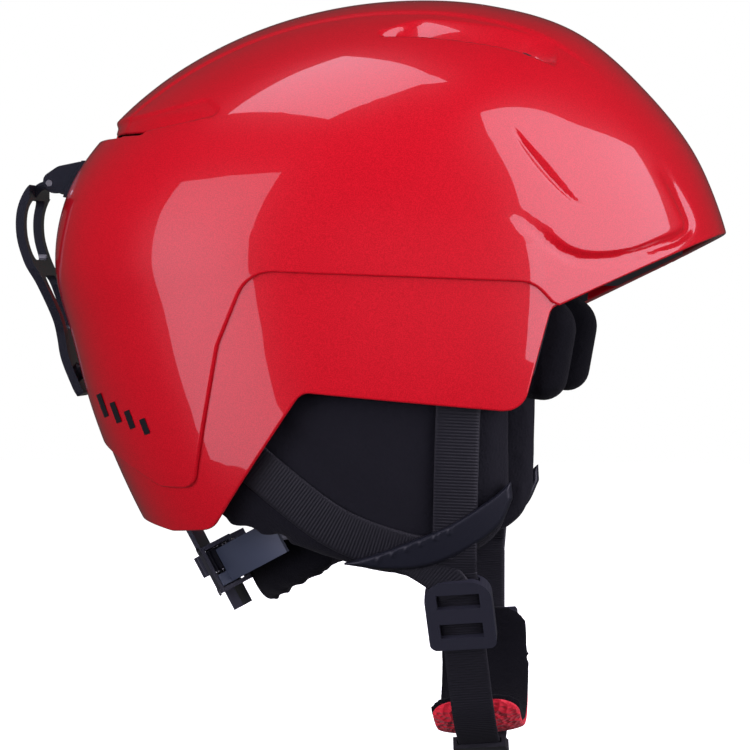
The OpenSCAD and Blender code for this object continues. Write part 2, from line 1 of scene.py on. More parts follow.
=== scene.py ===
import bpy
import bmesh
import math
import numpy as np
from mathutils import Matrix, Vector


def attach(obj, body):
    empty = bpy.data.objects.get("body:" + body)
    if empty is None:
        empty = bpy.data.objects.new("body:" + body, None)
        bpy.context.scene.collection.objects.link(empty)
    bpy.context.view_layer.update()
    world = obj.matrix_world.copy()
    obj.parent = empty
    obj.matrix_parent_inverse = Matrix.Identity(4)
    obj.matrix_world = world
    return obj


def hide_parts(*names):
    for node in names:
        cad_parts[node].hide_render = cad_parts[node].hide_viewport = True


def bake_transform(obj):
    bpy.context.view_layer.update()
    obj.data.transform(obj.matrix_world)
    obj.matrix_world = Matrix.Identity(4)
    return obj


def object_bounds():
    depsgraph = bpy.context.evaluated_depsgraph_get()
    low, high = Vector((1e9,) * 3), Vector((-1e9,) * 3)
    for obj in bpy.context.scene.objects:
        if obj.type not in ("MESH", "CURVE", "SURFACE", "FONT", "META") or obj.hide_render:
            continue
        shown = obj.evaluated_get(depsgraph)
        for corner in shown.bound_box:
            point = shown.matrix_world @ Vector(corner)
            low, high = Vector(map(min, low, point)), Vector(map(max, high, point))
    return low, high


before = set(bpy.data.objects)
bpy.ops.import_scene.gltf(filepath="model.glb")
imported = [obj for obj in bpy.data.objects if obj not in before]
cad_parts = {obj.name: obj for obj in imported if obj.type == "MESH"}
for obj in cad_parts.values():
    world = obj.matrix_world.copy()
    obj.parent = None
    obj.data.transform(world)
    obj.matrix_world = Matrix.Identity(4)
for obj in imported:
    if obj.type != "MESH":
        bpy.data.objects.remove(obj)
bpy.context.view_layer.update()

# Ski helmet: the looks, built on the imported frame. X is forward, Y to the wearer's left, Z up.
# Lengths are in millimetres, and MM turns them into metres. Camera and lights are in metres.
MM = 0.001
PI = math.pi
FAR = 1e9
RIGHT, LEFT = -1, 1
SIDES = ((RIGHT, "right"), (LEFT, "left"))

# ---- The dome, as in the part's source ----

# The side view's radius every 15 degrees, from the front (+X) up over the crown (+Z) and round
STATION_DEG = 15
OUTER = np.array([149, 142, 133, 125.5, 114, 104.5, 98.5, 95.7, 95.7, 98.5, 103.5, 109.5,
                  111, 108, 111.5, 120, 134, 151, 170, 178, 175, 167, 159, 153], float)
CAVITY = np.array([97, 95, 91, 86, 80.5, 75.5, 73, 72.5, 74, 77, 81, 85.5,
                   88, 88, 90, 97, 110, 130, 150, 160, 150, 130, 112, 101], float)
HALF_W = 100.0  # half the shell's width
CAV_W = 79.0  # half the cavity's width
ROUND = 2.2  # exponent of the front view's curve, where 2 is an ellipse


def catmull(a, b, c, d, t):
    """A smooth curve from b at t = 0 to c at t = 1, with a and d as the points beyond them."""
    return b + 0.5 * t * (c - a + t * (2 * a - 5 * b + 4 * c - d + t * (3 * (b - c) + d - a)))


def radius_at(table, th):
    k = np.mod(np.degrees(th) / STATION_DEG, len(table))
    i = np.floor(k).astype(int)
    a, b, c, d = (table[(i + j) % len(table)] for j in (-1, 0, 1, 2))
    return catmull(a, b, c, d, k - i)


def dome(th, s, depth=0.0, table=OUTER, half=HALF_W):
    """Points at angle th in the side view and angle s out to the side, some depth below."""
    r = (radius_at(table, th) - depth) * np.abs(np.cos(s)) ** (2 / ROUND)
    y = np.sign(s) * (half - depth) * np.abs(np.sin(s)) ** (2 / ROUND)
    return np.stack([r * np.cos(th), y, r * np.sin(th)], -1)


def dome_y(x, z, depth=0.0, table=OUTER, half=HALF_W):
    """Half the dome's width at a point of the side view, or 0 beyond its outline."""
    r = np.hypot(x, z) / (radius_at(table, np.arctan2(z, x)) - depth)
    return (half - depth) * np.clip(1 - np.clip(r, 0, 1) ** ROUND, 0, 1) ** (1 / ROUND)


def at_side(x, z, side, depth):
    """Points of the side view, moved out to one side of the dome."""
    x, z = np.asarray(x, float), np.asarray(z, float)
    return np.stack([x, side * dome_y(x, z, depth), z], -1)


# ---- Outlines ----

def rounded(points, n=10):
    """A closed outline from corners, each with an optional radius as its third number."""
    out = []
    m = len(points)
    for i, p in enumerate(points):
        here = np.array(p[:2], float)
        r = p[2] if len(p) > 2 else 0
        if not r:
            out.append(here)
            continue
        a = np.array(points[i - 1][:2], float) - here
        b = np.array(points[(i + 1) % m][:2], float) - here
        a /= np.linalg.norm(a)
        b /= np.linalg.norm(b)
        half = math.acos(max(-1, min(1, float(a @ b)))) / 2
        mid = (a + b) / np.linalg.norm(a + b)
        centre = here + mid * r / math.sin(half)
        p0 = here + a * r / math.tan(half) - centre
        p1 = here + b * r / math.tan(half) - centre
        w = math.acos(max(-1, min(1, float(p0 @ p1) / r / r)))
        for k in range(n + 1):
            t = k / n
            out.append(centre + (p0 * math.sin((1 - t) * w) + p1 * math.sin(t * w)) / math.sin(w))
    return np.array(out)


def sdf(p, poly):
    """Signed distance of points to a closed outline, below 0 inside."""
    best = np.full(len(p), FAR)
    inside = np.zeros(len(p), bool)
    for a, b in zip(poly, np.roll(poly, -1, 0)):
        e = b - a
        w = p - a
        t = np.clip((w @ e) / max(e @ e, 1e-12), 0, 1)
        d = w - t[:, None] * e
        best = np.minimum(best, (d * d).sum(1))
        cross = (a[1] > p[:, 1]) != (b[1] > p[:, 1])
        if e[1]:
            inside ^= cross & (p[:, 0] < a[0] + e[0] * (p[:, 1] - a[1]) / e[1])
    return np.where(inside, -1, 1) * np.sqrt(best)


def path_distance(p, path):
    """Distance of points to an open path, and how far along it the nearest point is, 0 to 1."""
    path = np.asarray(path, float)
    seg = np.linalg.norm(np.diff(path, axis=0), axis=1)
    start = np.concatenate([[0], np.cumsum(seg)])
    best = np.full(len(p), FAR)
    along = np.zeros(len(p))
    for i, (a, b) in enumerate(zip(path[:-1], path[1:])):
        e = b - a
        w = p - a
        t = np.clip((w @ e) / (e @ e), 0, 1)
        d = np.linalg.norm(w - t[:, None] * e, axis=1)
        near = d < best
        best = np.where(near, d, best)
        along = np.where(near, (start[i] + t * seg[i]) / start[-1], along)
    return best, along


def smooth(x, lo, hi):
    """Rises from 0 at lo to 1 at hi, flat at both ends."""
    t = np.clip((x - lo) / (hi - lo), 0, 1)
    return t * t * (3 - 2 * t)


def spline(points, n=12):
    """A smooth open path through points."""
    p = np.asarray(points, float)
    q = np.vstack([2 * p[0] - p[1], p, 2 * p[-1] - p[-2]])
    out = []
    for i in range(len(p) - 1):
        a, b, c, d = q[i:i + 4]
        for k in range(n):
            out.append(catmull(a, b, c, d, k / n))
    out.append(p[-1])
    return np.array(out)


# Side-view outlines, as x, z and radius: the shell, its part above the side panel, and the ear pad
SHELL_OUTLINE = rounded([[172, 23.5], [86, -16.5, 5], [75.5, -55, 9], [-5, -47.5, 6],
                         [-42, -99.8, 9], [-60, -101.5, 5], [-130, -89], [-130, 130], [172, 130]])
UPPER_ZONE = rounded([[182, -30], [88, -17], [79, -7, 12], [-24, -3, 14], [-36, -30, 10],
                      [-47.5, -83, 6], [-62, -83, 8], [-95, -66], [-140, -66], [-140, 140],
                      [182, 140]])
EAR_OUTLINE = rounded([[69, -45, 4], [68.5, -101, 20], [28, -117, 30], [-36, -99, 6],
                       [-46, -92, 4], [-12, -44, 6]])

# ---- Meshes ----

def mesh_object(name, verts, faces, normals=None):
    m = bpy.data.meshes.new(name)
    points = [tuple(v) for v in np.asarray(verts) * MM]
    m.from_pydata(points, [], [tuple(int(i) for i in f) for f in faces])
    m.update()
    m.shade_smooth()
    if normals is not None:
        m.normals_split_custom_set_from_vertices([tuple(n) for n in normals])
    o = bpy.data.objects.new(name, m)
    bpy.context.scene.collection.objects.link(o)
    return o


def vertex_normals(v, tri):
    a, b, c = v[tri[:, 0]], v[tri[:, 1]], v[tri[:, 2]]
    n = np.cross(b - a, c - a)
    out = np.zeros_like(v)
    for k in range(3):
        np.add.at(out, tri[:, k], n)
    return out / np.maximum(np.linalg.norm(out, axis=1), 1e-12)[:, None]


def grid_triangles(n, m):
    """The triangles of a grid of n by m points."""
    i, j = np.meshgrid(np.arange(n - 1), np.arange(m - 1), indexing="ij")
    a = (i * m + j).ravel()
    b, c, d = a + m, a + m + 1, a + 1
    return np.concatenate([np.stack([a, b, c], 1), np.stack([a, c, d], 1)])


def clip(par, tri, f):
    """Keeps the part of a triangle mesh where f is below 0. par holds each vertex's own numbers."""
    inside = f < 0
    count = inside[tri].sum(1)
    keep = [tri[count == 3]]
    extra = []
    base = len(par)
    made = {}

    def cross(i, j):
        key = (min(i, j), max(i, j))
        if key not in made:
            t = f[i] / (f[i] - f[j])
            made[key] = base + len(extra)
            extra.append(par[i] + (par[j] - par[i]) * t)
        return made[key]

    more = []
    for t in tri[(count == 1) | (count == 2)]:
        while not (inside[t[0]] and not inside[t[2]]):
            t = np.roll(t, 1)
        a, b, c = (int(x) for x in t)
        if inside[b]:
            p, q = cross(b, c), cross(a, c)
            more += [(a, b, p), (a, p, q)]
        else:
            more.append((a, cross(a, b), cross(a, c)))
    if more:
        keep.append(np.array(more))
        par = np.vstack([par, np.array(extra)])
    tri = np.concatenate(keep)
    used, tri = np.unique(tri, return_inverse=True)
    return par[used], tri.reshape(-1, 3)


def boundary(tri):
    """The edges that belong to one triangle only."""
    e = np.concatenate([tri[:, [0, 1]], tri[:, [1, 2]], tri[:, [2, 0]]])
    key = np.sort(e, 1)
    _, first, n = np.unique(key, axis=0, return_index=True, return_counts=True)
    return e[first[n == 1]]


RIM_RADIUS = 0.9
RIM_STEPS = 4
MIN_WALL = 0.6
INNER_BAND = 16  # how far in from an edge the inner face is made; the liner hides the rest


def trimmed_dome(th, s, cut):
    """The dome's grid, kept a rim's radius inside of cut, with coinciding points welded."""
    T, S = np.meshgrid(th, s, indexing="ij")
    par = np.stack([T.ravel(), S.ravel()], 1)
    tri = grid_triangles(len(th), len(s))
    par, tri = clip(par, tri, cut(dome(par[:, 0], par[:, 1])) + RIM_RADIUS)
    flat = dome(par[:, 0], par[:, 1])
    _, first, back_to = np.unique(np.round(flat, 3), axis=0, return_index=True, return_inverse=True)
    tri = back_to.reshape(-1)[tri]
    a, b, c = tri.T
    return par[first], flat[first], tri[(a != b) & (b != c) & (a != c)]


def skin(name, th, s, cut, top, bottom):
    """A skin of the dome between two depths, kept where cut is below 0, with a rounded rim."""
    par, flat, tri = trimmed_dome(th, s, cut)
    down = top(flat)
    v = dome(par[:, 0], par[:, 1], down)
    n = vertex_normals(v, tri)
    if (n * v).sum() < 0:
        tri = tri[:, ::-1]
        n = -n
    low = dome(par[:, 0], par[:, 1], np.maximum(bottom, down + MIN_WALL))

    # The direction out of each edge, in the surface
    edges = boundary(tri)
    out = np.zeros_like(v)
    d = v[edges[:, 1]] - v[edges[:, 0]]
    side = np.cross(d, n[edges[:, 0]] + n[edges[:, 1]])
    for k in (0, 1):
        np.add.at(out, edges[:, k], side)
    rows = np.unique(edges)
    t = out[rows] / np.maximum(np.linalg.norm(out[rows], axis=1), 1e-9)[:, None]

    # Rings of points over the rounded rim and down to the inner face
    verts, normals, rings = [v], [n], [rows]
    total = len(v)

    def add_ring(points, ring_normals):
        nonlocal total
        verts.append(points)
        normals.append(ring_normals)
        rings.append(np.arange(total, total + len(rows)))
        total += len(rows)

    for k in range(1, RIM_STEPS + 1):
        a = k / RIM_STEPS * PI / 2
        add_ring(v[rows] + RIM_RADIUS * (math.sin(a) * t - (1 - math.cos(a)) * n[rows]),
                 math.cos(a) * n[rows] + math.sin(a) * t)
    add_ring(low[rows] + RIM_RADIUS * t, t)
    verts.append(low)
    normals.append(-n)
    rings.append(rows + total)

    edge_band = (cut(flat) > -INNER_BAND)[tri].any(1)
    faces = [tri, tri[edge_band][:, ::-1] + total]
    place = np.full(len(v), -1)
    place[rows] = np.arange(len(rows))
    a, b = place[edges[:, 0]], place[edges[:, 1]]
    for up, dn in zip(rings[:-1], rings[1:]):
        faces.append(np.stack([up[b], up[a], dn[a]], 1))
        faces.append(np.stack([up[b], dn[a], dn[b]], 1))
    return mesh_object(name, np.vstack(verts), np.concatenate(faces), np.vstack(normals))


# ---- Materials ----

COAT_ROUGHNESS = 0.02


def material(name, colour, rough=0.5, metal=0.0, coat=0.0, sheen=0.0, spec=0.5):
    m = bpy.data.materials.new(name)
    m.use_nodes = True
    b = m.node_tree.nodes["Principled BSDF"]
    b.inputs["Base Color"].default_value = (*colour, 1)
    b.inputs["Roughness"].default_value = rough
    b.inputs["Metallic"].default_value = metal
    b.inputs["Coat Weight"].default_value = coat
    b.inputs["Coat Roughness"].default_value = COAT_ROUGHNESS
    b.inputs["Sheen Weight"].default_value = sheen
    b.inputs["Specular IOR Level"].default_value = spec
    return m


def add_bump(m, kind, scale, strength, height=0.0004, stretch=None):
    """Fine grain from a procedural texture in the piece's own coordinates, height in metres."""
    t = m.node_tree
    coords = t.nodes.new("ShaderNodeTexCoord")
    tex = t.nodes.new(kind)
    tex.inputs["Scale"].default_value = scale
    if kind == "ShaderNodeTexNoise":
        tex.inputs["Detail"].default_value = 2.0
    source = coords.outputs["Object"]
    if stretch:
        place = t.nodes.new("ShaderNodeMapping")
        place.inputs["Scale"].default_value = stretch
        t.links.new(source, place.inputs["Vector"])
        source = place.outputs["Vector"]
    t.links.new(source, tex.inputs["Vector"])
    bump = t.nodes.new("ShaderNodeBump")
    bump.inputs["Strength"].default_value = strength
    bump.inputs["Distance"].default_value = height
    t.links.new(tex.outputs[0], bump.inputs["Height"])
    t.links.new(bump.outputs["Normal"], t.nodes["Principled BSDF"].inputs["Normal"])


def add_flecks(m, dark, light, scale, low=0.4, high=0.6):
    """Varies the base colour between two colours with fine noise."""
    t = m.node_tree
    coords = t.nodes.new("ShaderNodeTexCoord")
    tex = t.nodes.new("ShaderNodeTexNoise")
    tex.inputs["Scale"].default_value = scale
    tex.inputs["Detail"].default_value = 3.0
    ramp = t.nodes.new("ShaderNodeValToRGB")
    ramp.color_ramp.elements[0].position = low
    ramp.color_ramp.elements[0].color = (*dark, 1)
    ramp.color_ramp.elements[1].position = high
    ramp.color_ramp.elements[1].color = (*light, 1)
    t.links.new(coords.outputs["Object"], tex.inputs["Vector"])
    t.links.new(tex.outputs[0], ramp.inputs["Fac"])
    t.links.new(ramp.outputs["Color"], t.nodes["Principled BSDF"].inputs["Base Color"])


PAINT = material("red_paint", (0.5, 0.004, 0.012), rough=0.32, coat=1.0, spec=0.2)
add_flecks(PAINT, (0.47, 0.002, 0.009), (0.62, 0.005, 0.016), 2600)
FOAM = material("black_foam", (0.012, 0.012, 0.014), rough=0.8)
add_bump(FOAM, "ShaderNodeTexVoronoi", 420, 0.25)
FLEECE = material("black_fleece", (0.0035, 0.0035, 0.005), rough=0.95, sheen=0.03, spec=0.15)
add_bump(FLEECE, "ShaderNodeTexNoise", 1500, 0.8)
TWILL = material("grey_twill", (0.006, 0.006, 0.009), rough=0.85, sheen=0.03, spec=0.25)
add_bump(TWILL, "ShaderNodeTexVoronoi", 1100, 0.5, 0.0003, (1.0, 1.0, 0.62))
RUBBER = material("trim_rubber", (0.009, 0.010, 0.016), rough=0.45)
add_bump(RUBBER, "ShaderNodeTexNoise", 900, 0.2)
WEB = material("webbing", (0.008, 0.008, 0.011), rough=0.55, sheen=0.04, spec=0.35)
GLOSS = material("clip_gloss", (0.013, 0.015, 0.022), rough=0.22, coat=0.4)
PLASTIC = material("dark_plastic", (0.026, 0.027, 0.037), rough=0.33)
BELT = material("belt_plastic", (0.05, 0.062, 0.088), rough=0.42)
LEVER = material("red_lever", (0.5, 0.01, 0.016), rough=0.35)
MESH = material("red_mesh", (0.75, 0.014, 0.035), rough=0.7, sheen=0.1)
add_bump(MESH, "ShaderNodeTexVoronoi", 420, 1.0, 0.0012)
STEEL = material("steel", (0.5, 0.5, 0.52), rough=0.28, metal=1.0)
BADGE = material("badge_black", (0.01, 0.01, 0.012), rough=0.4)


BEVEL_ANGLE = 35  # edges sharper than this many degrees are rounded


def finish_node(name, mat, bevel, segments):
    """Gives a CAD node its material and rounded edges."""
    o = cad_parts[name]
    o.data.materials.clear()
    o.data.materials.append(mat)
    if bevel:
        b = o.modifiers.new("edge", "BEVEL")
        b.width = bevel * MM
        b.segments = segments
        b.limit_method = "ANGLE"
        b.angle_limit = math.radians(BEVEL_ANGLE)
        b.harden_normals = True


def piece(o, mat, body, slot_name, *nodes):
    """Makes an object ride a body, in place of the named CAD nodes."""
    o.data.materials.append(mat)
    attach(o, body)
    if nodes:
        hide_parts(*nodes)


# ---- Shell ----

# Side-view paths of the grooves at the brow, and the recess at the rear under its long vent
SWOOSH = spline([[68, 20], [79.5, 12], [90, 4], [100, 1.5], [113, 3], [124, 7], [131, 10],
                 [134, 15], [129, 26], [117, 44]])
SWOOSH_ZONE = np.vstack([SWOOSH, [[100, 60], [60, 70], [50, 40]]])
SLASH = spline([[70.5, 49], [77, 40.5], [85, 31], [92, 23.5], [96.5, 20.5]])
REAR_RECESS = rounded([[-130, 46.9], [-92, 46.9], [-80, 47.5], [-62, 50.5], [-40, 53.6, 3],
                       [-37, 56, 2], [-43, 61.5, 4], [-71, 56.4], [-88, 54], [-130, 54]])

# Vents: two slots on top on each side, seen from above, and one at the rear, seen from behind
VENT_WIDTH = 2.2
TOP_VENTS = (([30, 58.0], [46, 57.6]), ([50, 57.2], [67, 55.2]))
REAR_VENT = ([12.2, 49.6], [59.8, 49.6])
REAR_X = -20  # the rear vent and recess lie behind this

# How deep each feature lies, and the depths of the two skins' inner faces
SWOOSH_DEPTH = 2.3
SWOOSH_SPREAD = 3.2  # square of the groove's half width
LIP_FADE = 14  # how far the lowered face beyond the groove reaches
SLASH_DEPTH = 1.2
RIDGE_DEPTH = 0.75
TROUGH_DEPTH = 5.4
TROUGH_Y = 58.2  # where the trough is deepest, at its rear end
RECESS_RIM, RECESS_DEPTH = 0.6, 3.4  # the ledge's least depth, and what it gains below
PANEL_OVERLAP = 5  # how far the panel runs under the upper skin
PANEL_DEPTH = 1.6
SHELL_INNER, PANEL_INNER = 3.58, 3.6


def capsule(p, a, b):
    """Signed distance to a vent with round ends."""
    d, _ = path_distance(p, [a, b])
    return d - VENT_WIDTH / 2


def vents(v):
    """Signed distance to the nearest vent."""
    from_above = np.stack([v[:, 0], np.abs(v[:, 1])], 1)
    f = np.full(len(v), 1e3)
    for a, b in TOP_VENTS:
        f = np.minimum(f, np.where(v[:, 2] > 0, capsule(from_above, a, b), 1e3))
    from_behind = np.stack([np.abs(v[:, 1]), v[:, 2]], 1)
    return np.minimum(f, np.where(v[:, 0] < REAR_X, capsule(from_behind, *REAR_VENT), 1e3))


def swoosh_depth(v, xz):
    """The hooked groove at the brow, and the face that it leaves a little lower beyond it."""
    beyond = sdf(xz, SWOOSH_ZONE) > 0
    d, along = path_distance(xz, SWOOSH)
    deep = SWOOSH_DEPTH * smooth(along, 0.0, 0.3) * (1 - smooth(along, 0.72, 0.95))
    groove = np.where(v[:, 0] > 55, deep * np.exp(-d ** 2 / SWOOSH_SPREAD), 0)
    face = 0.5 * deep * smooth(d, 0.2, 1.6) * np.exp(-d / LIP_FADE)
    return groove + np.where((v[:, 0] > 80) & beyond, face, 0)


def slash_depth(v, xz):
    """The straight groove above the hooked one, which tapers to both ends."""
    d, along = path_distance(xz, SLASH)
    taper = np.sin(PI * np.clip(along, 0.0, 1.0))
    groove = 0.5 + 0.5 * np.cos(PI * np.clip(d / (0.3 + 1.7 * taper ** 0.8), 0, 1))
    return np.where(v[:, 0] > 40, SLASH_DEPTH * taper ** 0.6 * groove, 0)


def ridge_depth(v, y):
    """The step down from the raised crown to the sides."""
    length = smooth(v[:, 0], -95, -60) * (1 - smooth(v[:, 0], 78, 108))
    across = smooth(y, 39.5, 42.5) * (1 - smooth(y, 52, 78))
    return np.where(v[:, 2] > 0, RIDGE_DEPTH * length * across, 0)


def trough_depth(v, y):
    """The hollow that leads into the top vents, gentle towards the crown and steep outside."""
    off = y - (TROUGH_Y - 0.0022 * np.clip(v[:, 0] - 30, 0, 99) ** 2)
    crown_side = np.clip(1 + off / (2.5 + 8.5 * smooth(v[:, 0], 19, 36)), 0, 1)
    outside = np.clip(1 - off / 2.2, 0, 1)
    ends = np.clip((v[:, 0] - 19) / 7, 0, 1) * np.clip((85 - v[:, 0]) / 9, 0, 1) ** 0.6
    trough = TROUGH_DEPTH * np.where(off < 0, crown_side ** 1.15, outside) * ends
    return np.where(v[:, 2] > 40, trough, 0)


def recess_depth(v, xz):
    """The ledge at the rear, deepest at its bottom edge, where the rear vent is."""
    depth = RECESS_RIM + RECESS_DEPTH * smooth(57 - v[:, 2], 0, 9) * smooth(-v[:, 0], 30, 62)
    return np.where(v[:, 0] < REAR_X, depth * smooth(-sdf(xz, REAR_RECESS), -0.2, 1.3), 0)


def relief(v):
    """How far the outer skin lies below the dome."""
    xz = v[:, [0, 2]]
    y = np.abs(v[:, 1])
    return (swoosh_depth(v, xz) + slash_depth(v, xz) + ridge_depth(v, y) + trough_depth(v, y)
            + recess_depth(v, xz))


def spread(stops):
    """Angles in radians from (degrees, step) stops, each step used up to the next stop."""
    out = []
    for (a, step), (b, _) in zip(stops[:-1], stops[1:]):
        out += list(np.linspace(a, b, max(2, int(round((b - a) / step))) + 1)[:-1])
    return np.radians(np.array(out + [stops[-1][0]]))


# The shell's grid: finer over the brow and round the rear ledge
GRID_TH = spread([(-90, 0.8), (2, 0.32), (82, 0.8), (126, 0.36), (166, 0.8), (270, 0)])
half_s = spread([(0, 0.6), (22, 0.42), (56, 1.0), (90, 0)])
GRID_S = np.concatenate([-half_s[:0:-1], half_s])


def shell_cut(v):
    return np.maximum(sdf(v[:, [0, 2]], SHELL_OUTLINE), -vents(v))


def upper_cut(v):
    return np.maximum(shell_cut(v), sdf(v[:, [0, 2]], UPPER_ZONE))


def panel_cut(v):
    return np.maximum(shell_cut(v), -(sdf(v[:, [0, 2]], UPPER_ZONE) + PANEL_OVERLAP))


def panel_depth(v):
    return np.full(len(v), PANEL_DEPTH)


shell = skin("shell_paint", GRID_TH, GRID_S, upper_cut, relief, SHELL_INNER)
piece(shell, PAINT, "helmet", "shell", "shell")
panel = skin("side_panels", GRID_TH, GRID_S, panel_cut, panel_depth, PANEL_INNER)
piece(panel, PAINT, "helmet", "shell")


# ---- Soft pieces ----

def close_pad(name, upper, lower, tri, d):
    """One closed mesh from two faces that meet where d is 0."""
    n = len(upper)
    low = np.arange(n) + n
    low[d < 1e-6] = np.arange(n)[d < 1e-6]
    faces = np.concatenate([tri, low[tri[:, ::-1]]])
    verts = np.vstack([upper, lower])
    centre = verts[np.unique(faces)].mean(0)
    a, b, c = (verts[faces[:, k]] - centre for k in range(3))
    if np.einsum("ij,ij->i", a, np.cross(b, c)).sum() < 0:
        faces = faces[:, ::-1]
    used, faces = np.unique(faces, return_inverse=True)
    return mesh_object(name, verts[used], faces.reshape(-1, 3))


def swell(d, r):
    """How full a pad is at distance d from its edge: 0 at the edge, 1 from r inwards."""
    e = np.clip(d / r, 0, 1)
    return np.sqrt(np.clip(1 - (1 - e) ** 2, 0, 1))


def pillow(name, outline, y_out, y_in, r, side, step, dips=None):
    """A crowned pad seen from the side as an outline, between two surfaces y(x, z)."""
    lo, hi = outline.min(0) - 1, outline.max(0) + 1
    X, Z = np.meshgrid(np.arange(lo[0], hi[0] + step, step), np.arange(lo[1], hi[1] + step, step),
                       indexing="ij")
    par = np.stack([X.ravel(), Z.ravel()], 1)
    tri = grid_triangles(*X.shape)
    par, tri = clip(par, tri, sdf(par, outline))
    d = np.clip(-sdf(par, outline), 0, None)
    edge = np.unique(boundary(tri))
    d[edge] = 0
    x, z = par[:, 0], par[:, 1]
    a, b = y_out(x, z), y_in(x, z)
    mid, half = (a + b) / 2, (a - b) / 2
    h = half * swell(d, r)
    dip = dips(x, z) * np.clip(d / 1.5, 0, 1) if dips else 0
    upper = np.stack([x, side * (mid + h - dip), z], 1)
    lower = np.stack([x, side * (mid - h), z], 1)
    return close_pad(name, upper, lower, tri, d)


def dome_pad(name, cut, d0, d1, table, half, r, th, s, dips=None):
    """A crowned pad that follows the dome between two depths, where cut is below 0.

    th and s are the (start, stop, step) of the two angles, in degrees."""
    T, S = np.meshgrid(np.radians(np.arange(*th)), np.radians(np.arange(*s)), indexing="ij")
    par = np.stack([T.ravel(), S.ravel()], 1)
    tri = grid_triangles(*T.shape)
    mid = (d0 + d1) / 2
    par, tri = clip(par, tri, cut(dome(par[:, 0], par[:, 1], mid, table, half)))
    flat = dome(par[:, 0], par[:, 1], mid, table, half)
    d = np.clip(-cut(flat), 0, None)
    d[np.unique(boundary(tri))] = 0
    h = (d1 - d0) / 2 * swell(d, r)
    dip = dips(flat) * np.clip(d / 2, 0, 1) if dips else 0
    upper = dome(par[:, 0], par[:, 1], mid - h, table, half)
    lower = dome(par[:, 0], par[:, 1], mid + h - dip, table, half)
    return close_pad(name, upper, lower, tri, d)


def soft(o, mat, body, slot_name, node):
    piece(o, mat, body, slot_name, node)


CLOTH_FRAMES = 20


def inflate(o, size, limit, pressure=4.0):
    """Lets a pad's cover, remeshed at size, swell and settle as cloth, by no more than limit."""
    m = o.modifiers.new("even", "REMESH")
    m.mode = "VOXEL"
    m.voxel_size = size * MM
    bpy.context.view_layer.update()
    flat = bpy.data.meshes.new_from_object(o.evaluated_get(bpy.context.evaluated_depsgraph_get()))
    o.modifiers.clear()
    o.data = flat
    n = len(flat.vertices)
    rest = np.empty(n * 3)
    flat.vertices.foreach_get("co", rest)
    rest = rest.reshape(-1, 3)
    cloth = o.modifiers.new("cover", "CLOTH")
    c = cloth.settings
    c.quality = 5
    c.mass = 0.2
    c.tension_stiffness = c.compression_stiffness = 18
    c.shear_stiffness = 8
    c.bending_stiffness = 0.4
    c.use_pressure = True
    c.uniform_pressure_force = pressure
    c.effector_weights.gravity = 0
    cloth.collision_settings.use_collision = False
    cloth.point_cache.frame_start = 1
    cloth.point_cache.frame_end = CLOTH_FRAMES
    scene = bpy.context.scene
    for f in range(1, CLOTH_FRAMES + 1):
        scene.frame_set(f)
    done = o.evaluated_get(bpy.context.evaluated_depsgraph_get()).to_mesh()
    now = np.empty(n * 3)
    done.vertices.foreach_get("co", now)
    now = now.reshape(-1, 3)
    o.modifiers.clear()
    move = now - rest
    move[~np.isfinite(move).all(1)] = 0
    far = np.linalg.norm(move, axis=1)
    move *= np.minimum(1, limit * MM / np.maximum(far, 1e-9))[:, None]
    flat.vertices.foreach_set("co", (rest + move).ravel())
    flat.update()
    scene.frame_set(1)
    sub = o.modifiers.new("finer", "SUBSURF")
    sub.levels = sub.render_levels = 1
    flat.shade_smooth()


def depth_y(depth):
    return lambda x, z: dome_y(x, z, depth)


# The ear pads: their outer face's depth under the dome, and their thickness behind and in front
EAR_DEPTH = 10.3
EAR_THIN, EAR_THICK = 5, 14.5


def ear_back(x, z):
    thick = EAR_THIN + (EAR_THICK - EAR_THIN) * smooth(x, -18, -1)
    return dome_y(x, z, EAR_DEPTH) - thick


def ear_dips(x, z):
    """One stitched crease across the pad, and slow waves in its cover."""
    crease, _ = path_distance(np.stack([x, z], 1), [[-22, -52], [-4, -66], [6, -84], [34, -100]])
    pucker = 0.5 * np.exp(-(crease / 3.0) ** 2)
    wave = 0.35 * np.sin(x * 0.21 + 0.13 * z) * np.sin(z * 0.17 - 0.4)
    return pucker + 0.35 + wave


for side, tag in SIDES:
    ear = pillow("ear_cushion_" + tag, EAR_OUTLINE, depth_y(EAR_DEPTH), ear_back, 5.5, side, 1.6,
                 ear_dips)
    inflate(ear, 4.0, 0.9)
    soft(ear, TWILL, "helmet", "twill", "ear_pad_" + tag)

TRIM_TOP = spline([[8, -109.8], [18, -107], [29, -103], [47, -95.5], [62, -86], [69.5, -79.5]])
TRIM_BOTTOM = spline([[70, -86], [65, -96], [55, -104], [40, -110.8], [25, -112.6], [8, -110.6]])
TRIM = np.vstack([TRIM_TOP, TRIM_BOTTOM])


def trim_ribs(x, z):
    """Six short slanting ribs, raised by 0.45 mm."""
    out = np.zeros(len(x))
    for k in range(6):
        cx = 22 + 5.2 * k
        cz = -106.7 + 2.1 * k
        rib = [[cx - 0.7, cz - 2.2], [cx + 0.7, cz + 2.2]]
        d, _ = path_distance(np.stack([x, z], 1), rib)
        out -= 0.45 * (1 - smooth(d, 0.55, 1.0))
    return out


for side, tag in SIDES:
    t = pillow("trim_" + tag, TRIM, depth_y(5.1), depth_y(11.5), 1.6, side, 0.5, trim_ribs)
    piece(t, RUBBER, "helmet", "trim", "ear_trim_" + tag)


# ---- Webbing ----

WEB_WIDTH, WEB_THICK = 16, 1.4
RIB_PITCH = 1.15
RIB_HEIGHT = 0.11
RIB_STEP = RIB_PITCH / 5
EDGE_POWER = 14
WEB_ACROSS = np.array([-1, -0.985, -0.93, -0.8, -0.5, -0.2, 0.2, 0.5, 0.8, 0.93, 0.985, 1])
SMOOTH_OVER = 15  # points that a swept strap's direction is averaged over


